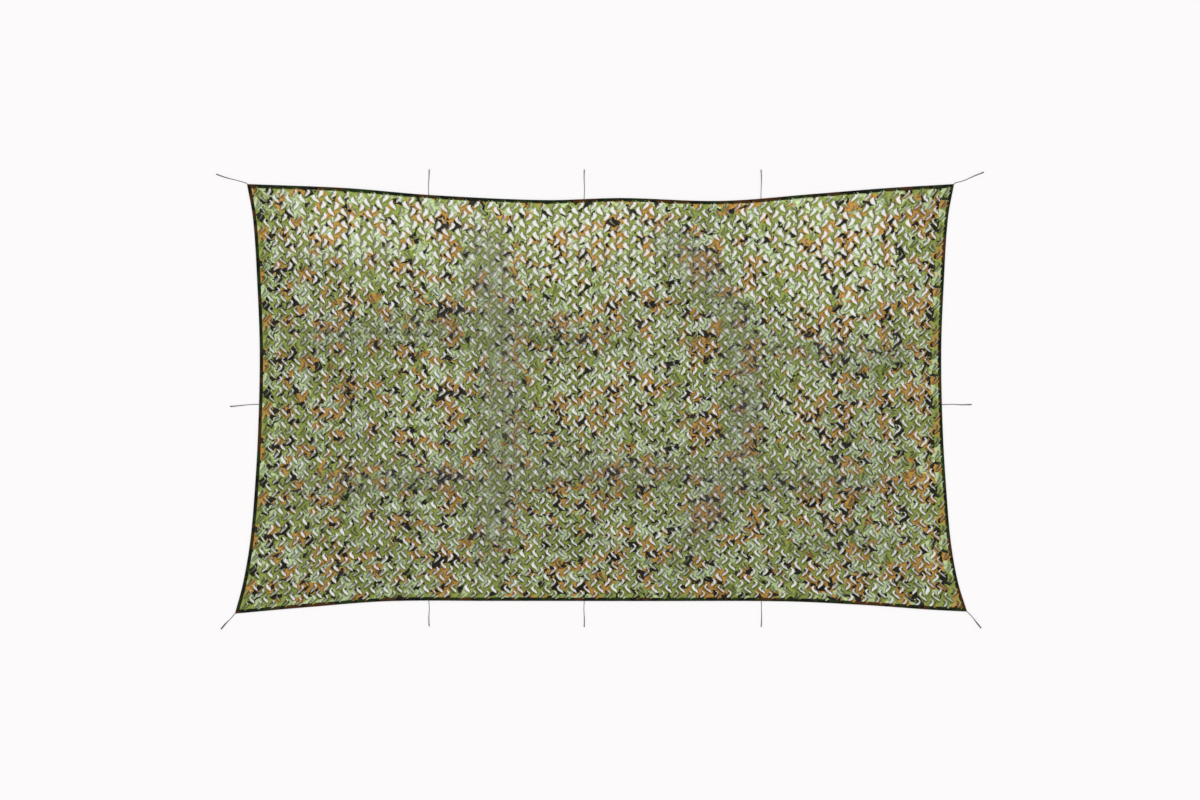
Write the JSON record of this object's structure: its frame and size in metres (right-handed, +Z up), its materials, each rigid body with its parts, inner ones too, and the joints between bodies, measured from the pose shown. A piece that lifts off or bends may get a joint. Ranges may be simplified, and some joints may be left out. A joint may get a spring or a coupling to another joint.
{
  "type": "camouflage net",
  "caption": "Wide rectangular camouflage net laid flat, with drawn-out corners, inward-bowed edges, a folded edge binding and short knotted ties.",
  "frame": {"origin": "on the ground under the middle of the net, ties left out", "axes": "+X to the right along the long edges, +Y towards the top edge, +Z up from the ground"},
  "size_m": [5.3775, 3.2204, 0.0409],
  "materials": {
    "net_cloth": "thin woven polyester with a soft sheen, printed in sage, green, brown and near-black",
    "binding_tape": "woven tape folded and stitched, printed dark green, black and red-brown",
    "tie_cord": "braided cord, grey-green and dull"
  },
  "bodies": {
    "root": {"net_sheet": "net_cloth", "binding_top": "binding_tape", "binding_bottom": "binding_tape", "binding_left": "binding_tape", "binding_right": "binding_tape", "tie_corner_top_left": "tie_cord", "tie_corner_top_right": "tie_cord", "tie_corner_bottom_left": "tie_cord", "tie_corner_bottom_right": "tie_cord", "tie_top_1": "tie_cord", "tie_top_2": "tie_cord", "tie_top_3": "tie_cord", "tie_bottom_1": "tie_cord", "tie_bottom_2": "tie_cord", "tie_bottom_3": "tie_cord", "tie_left": "tie_cord", "tie_right": "tie_cord"}
  },
  "joints": []
}
